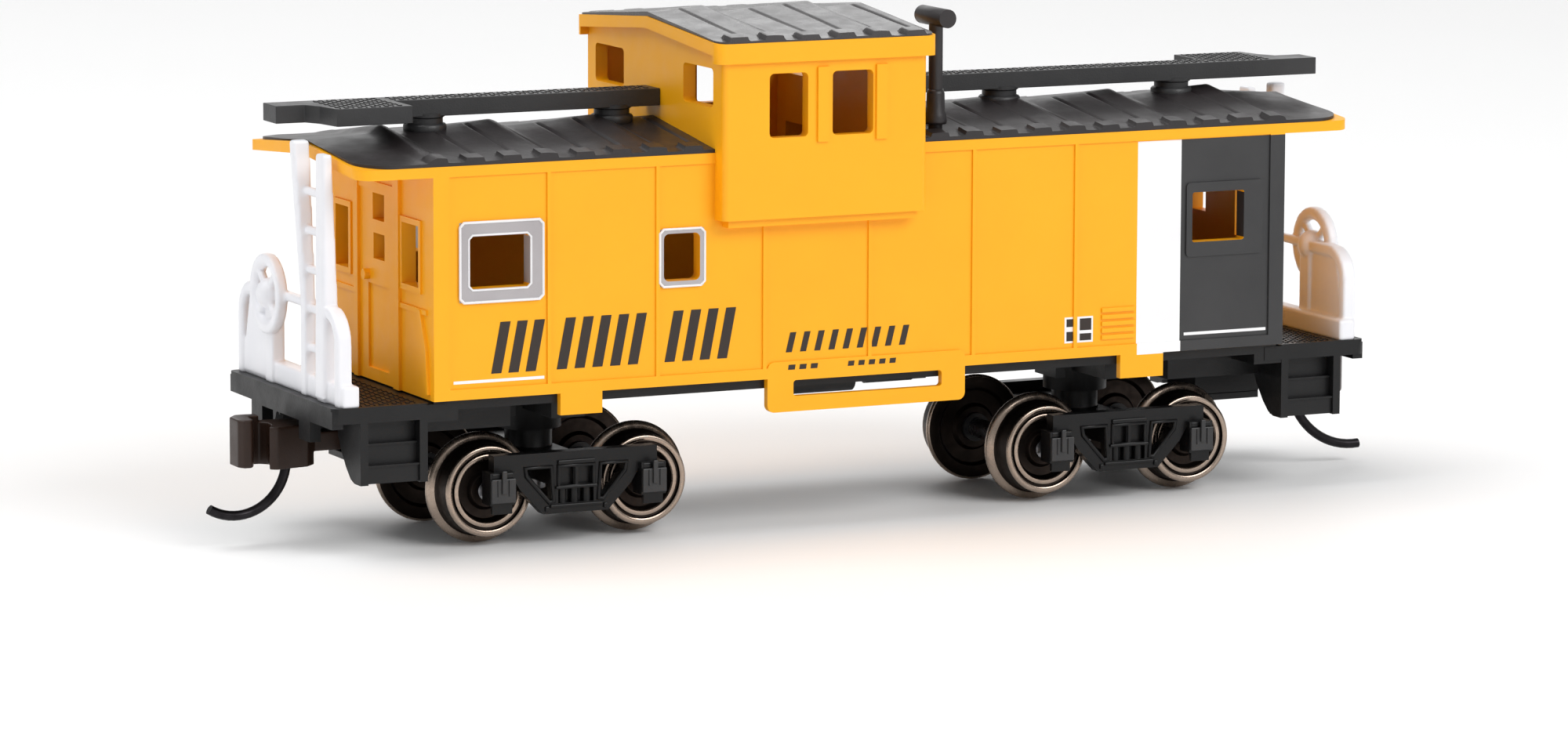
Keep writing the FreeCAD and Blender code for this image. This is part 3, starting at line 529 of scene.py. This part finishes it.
def railing(end):
    """The railing moulding with a thick soft brake wheel, stand and post tips, melted into one."""
    sign = ENDS[end]
    shape = bmesh.new()
    shape.from_mesh(nodes["end_railing_" + end].data)

    wheel_y = -sign * 3.1
    centre = (34.2, -wheel_y, 14.7)
    ring = []
    around, tube, reach = 40, 12, 2.0
    for n in range(around):
        turn = 2 * math.pi * n / around
        circle = []
        for k in range(tube):
            twist = 2 * math.pi * k / tube
            radius = reach + 0.36 * math.cos(twist)
            circle.append(shape.verts.new(Vector((
                sign * (centre[0] + 0.3 * math.sin(twist)), -centre[1] + radius * math.cos(turn),
                centre[2] + radius * math.sin(turn))) * MM))
        ring.append(circle)
    for n in range(around):
        for k in range(tube):
            a, b = ring[n], ring[(n + 1) % around]
            shape.faces.new((a[k], b[k], b[(k + 1) % tube], a[(k + 1) % tube]))
    hub = Matrix.Translation(Vector((sign * 34.05, wheel_y, 14.7)) * MM)
    bmesh.ops.create_uvsphere(shape, u_segments=16, v_segments=10, radius=0.9 * MM, matrix=hub)

    def taper(low_x, low_y, high_x, high_y, z):
        """Four-sided post between two heights, in the front railing's own sense of X and Y."""
        made = [shape.verts.new(Vector((sign * x, -sign * y, height)) * MM)
                for height, wide, deep in ((z[0], low_x, low_y), (z[1], high_x, high_y))
                for x, y in ((wide[0], deep[0]), (wide[1], deep[0]), (wide[1], deep[1]), (wide[0], deep[1]))]
        for face in ((3, 2, 1, 0), (4, 5, 6, 7), (0, 1, 5, 4), (1, 2, 6, 5), (2, 3, 7, 6), (3, 0, 4, 7)):
            shape.faces.new([made[corner] for corner in face])

    taper((33.7, 34.1), (2.9, 7.8), (33.75, 34.05), (2.9, 6.6), (9.6, 14.4))
    taper((33.45, 34.3), (-6.0, -4.6), (33.78, 34.25), (-5.95, -4.85), (9.6, 23.9))
    mesh = bpy.data.meshes.new("railing_" + end)
    bmesh.ops.recalc_face_normals(shape, faces=shape.faces)
    shape.to_mesh(mesh)
    shape.free()
    piece = add_piece("railing_" + end, mesh, "car_body", ["end_railing_" + end],
                      [RAILING_WHITE])
    melt(piece, 0.1, 4)
    swell = piece.modifiers.new("swell", "DISPLACE")
    swell.strength = 0.07 * MM
    swell.mid_level = 0


# ---- Truck details ----

TRUSS_GAP = ((-3.3, 4.8), (-1.6, 4.8), (-1.45, 2.7), (-1.75, 2.65), (-3.2, 4.3))
SPRING_GAP = ((-1.15, 4.8), (1.15, 4.8), (1.15, 3.55), (-1.15, 3.55))


def rim(name, points, y, radius, body, material):
    """Rounded raised rim along a closed outline in the XZ plane."""
    curve = bpy.data.curves.new(name, "CURVE")
    curve.dimensions = "3D"
    curve.bevel_depth = radius * MM
    curve.bevel_resolution = 2
    line = curve.splines.new("POLY")
    line.points.add(len(points) - 1)
    line.use_cyclic_u = True
    for point, (x, z) in zip(line.points, points):
        point.co = (x * MM, y * MM, z * MM, 1)
    piece = bpy.data.objects.new(name, curve)
    bpy.context.scene.collection.objects.link(piece)
    give_material(piece, material)
    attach(piece, body)


def truck_details(end):
    """Rims round the truss openings, box lids with their clips, and bolt heads, on both side frames."""
    middle = ENDS[end] * 18.72
    boxes, lids = [], []
    for side in (-1, 1):
        label = f"{end}_{'left' if side < 0 else 'right'}"
        face = side * 7.15
        for number, outline in enumerate((TRUSS_GAP, [(-x, z) for x, z in TRUSS_GAP], SPRING_GAP)):
            rim(f"truss_rim_{label}_{number}", [(middle + x, z) for x, z in outline], face, 0.15,
                "truck_" + end, TRUCK_BLACK)

        def out(low, high):
            return tuple(sorted((side * low, side * high)))

        for step in (-1, 1):
            x = middle + step * (5.055 - 0.15)
            boxes += [
                ((x - 0.68, x + 0.68), out(7.3, 7.58), (4.35, 4.66)),
                ((x - 0.65, x + 0.65), out(7.2, 7.5), (2.2, 2.85)),
            ]
            lids += [
                ((x - 0.78, x + 0.78), out(7.5, 7.76), (2.9, 4.35)),
                ((x - 0.15, x + 0.15), out(7.7, 7.9), (3.45, 4.85)),
                ((x - 0.42, x - 0.3), out(7.7, 7.84), (3.3, 4.3)),
                ((x + 0.3, x + 0.42), out(7.7, 7.84), (3.3, 4.3)),
            ]
            foot = middle + step * 1.9
            boxes.append(((foot - 0.12, foot + 0.12), out(7.1, 7.28), (2.1, 2.4)))
        boxes.append(((middle - 1.2, middle + 1.2), out(7.1, 7.3), (4.9, 5.15)))
        boxes.append(((middle - 1.35, middle + 1.35), out(7.1, 7.32), (3.42, 3.6)))
        boxes.append(((middle - 1.7, middle + 1.7), out(7.1, 7.3), (2.3, 2.5)))
        boxes.append(((middle - 0.1, middle + 0.1), out(7.1, 7.25), (3.55, 4.85)))
    for name, group, finish in (("truck_fittings_", boxes, TRUCK_BLACK), ("box_lids_", lids, BOARD_BLACK)):
        piece = add_piece(name + end, boxes_mesh(name + end, group), "truck_" + end, (),
                          [finish])
        rounded(piece, 0.05, 2)


# ---- Tread plate ----

def tread_plate(name, x, y, z, slot):
    """Rows of small raised lozenges, turned alternately, on a flat top."""
    points, faces = [], []
    pitch, length, width, height = 0.42, 0.17, 0.07, 0.05
    columns, rows = int((x[1] - x[0]) / pitch), int((y[1] - y[0]) / pitch)
    for i in range(columns):
        for j in range(rows):
            centre = (x[0] + (i + 0.5) * pitch, y[0] + (j + 0.5) * pitch)
            reach = (length, width) if (i + j) % 2 else (width, length)
            first = len(points)
            for share, up in ((1.0, -0.03), (0.8, height)):
                for a, b in ((-1, 0), (0, -1), (1, 0), (0, 1)):
                    corner_x = centre[0] + a * reach[0] * share
                    corner_y = centre[1] + b * reach[1] * share
                    points.append((corner_x, corner_y, z + up))
            faces.append([first + 4, first + 5, first + 6, first + 7])
            faces.append([first + 3, first + 2, first + 1, first])
            for k in range(4):
                faces.append([first + k, first + (k + 1) % 4, first + 4 + (k + 1) % 4, first + 4 + k])
    add_piece(name, mesh_of(name, points, faces), "car_body", (),
              [FRAME_BLACK if slot == "underframe_plastic" else BOARD_BLACK])


BOARD_TOP = 26.4
DECK_TOP = 9.35


def tread_plates():
    tread_plate("tread_board_front", (-32.5, -27.9), (-3.9, 0.9), BOARD_TOP, "roof_plastic")
    tread_plate("tread_board_rear", (27.9, 32.5), (-0.9, 3.9), BOARD_TOP, "roof_plastic")
    tread_plate("tread_walk_front", (-27.8, -10.7), (-0.9, 0.9), BOARD_TOP, "roof_plastic")
    tread_plate("tread_walk_rear", (3.4, 27.8), (-0.9, 0.9), BOARD_TOP, "roof_plastic")
    for end, sign in ENDS.items():
        tread_plate("tread_deck_" + end, tuple(sorted((sign * 28.8, sign * 33.0))), (-8.2, 8.2), DECK_TOP,
                    "underframe_plastic")


# ---- Board posts ----

POST_X = (13.2, 25.4)
JACK_X, JACK_Y = 5.2, -7.02


def board_posts():
    """Turned sleeves round the posts of the running boards and round the foot of the smoke jack."""
    profile = [(0.9, 24.3), (1.25, 24.3), (1.3, 24.4), (1.3, 24.75), (1.22, 24.85), (1.08, 24.9),
               (1.08, 25.2), (1.2, 25.28), (1.2, 25.5), (0.9, 25.5)]
    for end, sign in ENDS.items():
        for number, x in enumerate(POST_X):
            name = f"post_sleeve_{end}_{number}"
            piece = add_piece(name, lathe(name, profile, 48, "z"), "car_body", (),
                              [BOARD_BLACK], smooth=True)
            edges = piece.modifiers.new("edges", "EDGE_SPLIT")
            edges.split_angle = math.radians(50)
            place_at(piece, (sign * x, 0, 0))
    sleeve = [(0.4, 24.15), (0.66, 24.15), (0.7, 24.3), (0.66, 24.75), (0.57, 24.95), (0.55, 26.0),
              (0.48, 26.25), (0.4, 26.25)]
    piece = add_piece("pipe_sleeve", lathe("pipe_sleeve", sleeve, 48, "z"), "car_body", (),
                      [ROOF_BLACK], smooth=True)
    place_at(piece, (JACK_X, JACK_Y, 0))


# ---- Window frames ----

def window_rims():
    """Raised edges of the two silver window frames, coloured as a painted highlight on the silver paint."""
    frames = (
        ("wide", (-26.9, -21.6), (15.2, 19.93), 0.09), ("wide_inner", (-26.35, -22.37), (15.92, 19.18), 0.07),
        ("small", (-14.05, -11.12), (15.43, 18.87), 0.08),
    )
    for side in (-1, 1):
        for name, x, z, radius in frames:
            cut = 0.25
            low_x, high_x, low_z, high_z = x[0], x[1], z[0], z[1]
            outline = [(low_x + cut, low_z), (high_x - cut, low_z),
                       (high_x, low_z + cut), (high_x, high_z - cut),
                       (high_x - cut, high_z), (low_x + cut, high_z),
                       (low_x, high_z - cut), (low_x, low_z + cut)]
            rim(f"window_rim_{name}_{'left' if side < 0 else 'right'}", outline, side * 8.95, radius,
                "car_body", SILVER_PAINTED_HIGHLIGHT)


# ---- Softened mouldings ----

def soft_mouldings():
    tread_plates()
    board_posts()
    window_rims()
    for end in ENDS:
        give_material(nodes["running_board_" + end], BOARD_BLACK)
        railing(end)
        truck_details(end)
        melt(nodes["coupler_" + end], 0.07, 6)
        soften(nodes["running_board_" + end], 0.16, 3)
        soften(nodes["truck_frame_" + end], 0.07)
        soften(nodes["coupler_cover_" + end], 0.06)
        nodes["trip_pin_" + end].data.shade_smooth()
    soften(nodes["underframe"], 0.1)
    soften(nodes["smoke_jack"], 0.12)


# ---- Floor, light and camera ----

def floor_and_backdrop():
    """Plain pale floor that curves up into a backdrop far behind the car."""
    half, depth, sweep, height = 1.5, 1.2, 0.4, 0.8
    profile = [(-depth, 0.0), (depth, 0.0)]
    steps = 12
    for n in range(1, steps + 1):
        turn = math.radians(90) * n / steps
        profile.append((depth + sweep * math.sin(turn), sweep * (1 - math.cos(turn))))
    profile.append((depth + sweep, sweep + height))
    away = Vector((math.sin(CAMERA_TURN), math.cos(CAMERA_TURN), 0))
    across = Vector((math.cos(CAMERA_TURN), -math.sin(CAMERA_TURN), 0))
    points = []
    for out, up in profile:
        for side in (-half, half):
            points.append(away * out + across * side + Vector((0, 0, up)))
    faces = [(2 * i, 2 * i + 1, 2 * i + 3, 2 * i + 2) for i in range(len(profile) - 1)]
    mesh = bpy.data.meshes.new("floor")
    mesh.from_pydata(points, [], faces)
    mesh.shade_smooth()
    floor = bpy.data.objects.new("floor", mesh)
    bpy.context.scene.collection.objects.link(floor)
    n = Nodes("pale_floor")
    n.link(n.spread(n.noise(60.0), 0.55, 0.65), n.shader.inputs["Roughness"])
    n.shader.inputs["Base Color"].default_value = scene_linear(253, 253, 253)
    give_material(floor, n.material)


def softbox(name, place, size, power, aim=(0, 0, 0.015)):
    light = bpy.data.lights.new(name, "AREA")
    light.shape = "RECTANGLE"
    light.size, light.size_y = size
    light.energy = power
    lamp = bpy.data.objects.new(name, light)
    lamp.location = place
    lamp.visible_camera = False
    lamp.rotation_mode = "QUATERNION"
    lamp.rotation_quaternion = (Vector(aim) - Vector(place)).to_track_quat("-Z", "Y")
    bpy.context.scene.collection.objects.link(lamp)


CAMERA_TURN = math.radians(25.732)
CAMERA_RISE = math.radians(7.998)
CAMERA_ROLL = math.radians(0.221)
CAMERA_TARGET = Vector((-0.738, 0.0, 12.698)) * MM
CAMERA_DISTANCE = 402.016 * MM
LENS = 149.97
SHIFT = (-0.00795, -0.0459)


def camera():
    """Long lens at the front left corner, a little above the car."""
    back = Vector((-math.sin(CAMERA_TURN) * math.cos(CAMERA_RISE),
                   -math.cos(CAMERA_TURN) * math.cos(CAMERA_RISE), math.sin(CAMERA_RISE)))
    right = (-back).cross(Vector((0, 0, 1))).normalized()
    up = right.cross(-back)
    across = math.cos(CAMERA_ROLL) * right + math.sin(CAMERA_ROLL) * up
    upward = math.cos(CAMERA_ROLL) * up - math.sin(CAMERA_ROLL) * right
    turned = Matrix((across, upward, back)).transposed()
    data = bpy.data.cameras.new("camera")
    data.lens = LENS
    data.shift_x, data.shift_y = SHIFT
    data.clip_start = 0.01
    eye = bpy.data.objects.new("camera", data)
    eye.matrix_world = Matrix.Translation(CAMERA_TARGET + back * CAMERA_DISTANCE) @ turned.to_4x4()
    bpy.context.scene.collection.objects.link(eye)
    bpy.context.scene.camera = eye


def studio():
    world = bpy.data.worlds.new("studio")
    world.use_nodes = True
    world.node_tree.nodes["Background"].inputs["Color"].default_value = (1, 1, 1, 1)
    world.node_tree.nodes["Background"].inputs["Strength"].default_value = 0.42
    bpy.context.scene.world = world
    bpy.context.scene.view_settings.view_transform = "Standard"
    softbox("key", (0.25, -0.55, 0.45), (0.5, 0.4), 3.1)
    softbox("top", (-0.32, 0.1, 0.62), (0.6, 0.5), 2.6)
    softbox("behind", (0.38, 0.8, 0.33), (0.7, 0.3), 0.8)
    softbox("side", (-0.65, -0.1, 0.3), (0.4, 0.4), 0.35)


body_paint()
printed("name_bars", NAME_BARS, INK_BLACK)
printed("small_marks", SMALL_MARKS, INK_BLACK, 0.14)
printed("pinstripes", PINSTRIPES, WHITE_PAINT, 0.02)
printed("panel_outline", PANEL_OUTLINE, WHITE_PAINT, 0.012)
printed("panel_blocks", PANEL_BLOCKS, INK_BLACK, 0.02)
roofs()
wheels()
soft_mouldings()
camera()
floor_and_backdrop()
studio()
